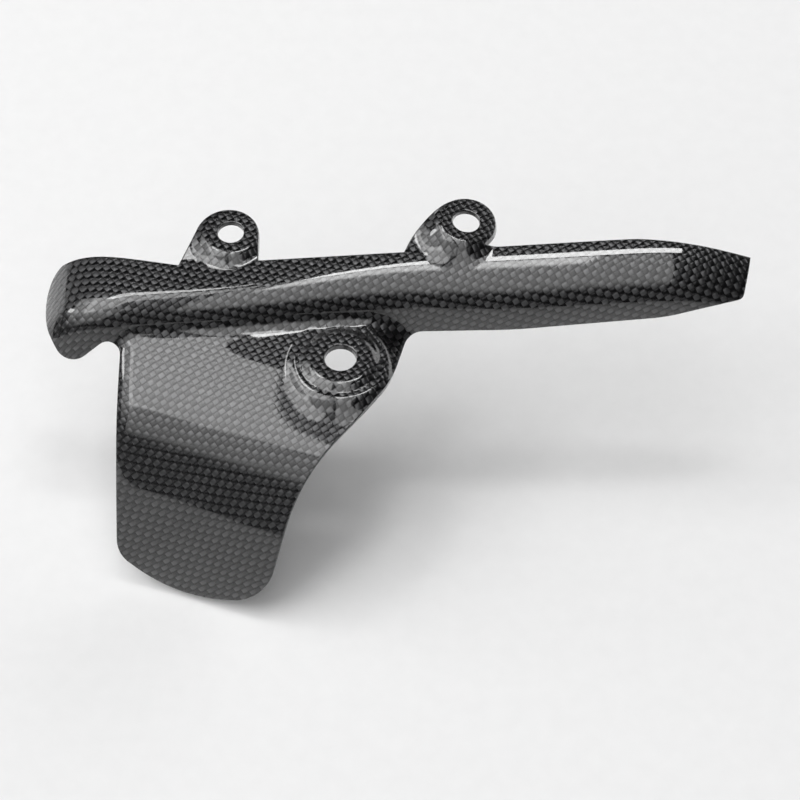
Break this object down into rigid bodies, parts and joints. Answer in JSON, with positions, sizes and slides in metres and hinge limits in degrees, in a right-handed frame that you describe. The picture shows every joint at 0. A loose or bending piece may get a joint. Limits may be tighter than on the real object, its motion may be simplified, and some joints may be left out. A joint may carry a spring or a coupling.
{
  "type": "motorcycle swingarm cover",
  "caption": "Moulded carbon laminate cover for a motorcycle swingarm: a thin shell with a rolled shoulder, a bent side plate, raised bolt tabs and a stepped bolt boss.",
  "frame": {"origin": "centre of the plate's bolt hole, on the outer face of its flat seat", "axes": "+X along the arm to the tapered tip, +Z along the plate's bolt axis out of the seat, -Y to the outer side of the arm, down the side plate"},
  "size_m": [0.2296, 0.1066, 0.0832],
  "materials": {
    "carbon_laminate": "plain-weave carbon fibre under a gloss clear coat"
  },
  "bodies": {
    "root": {"cover_shell": "carbon_laminate"}
  },
  "joints": []
}
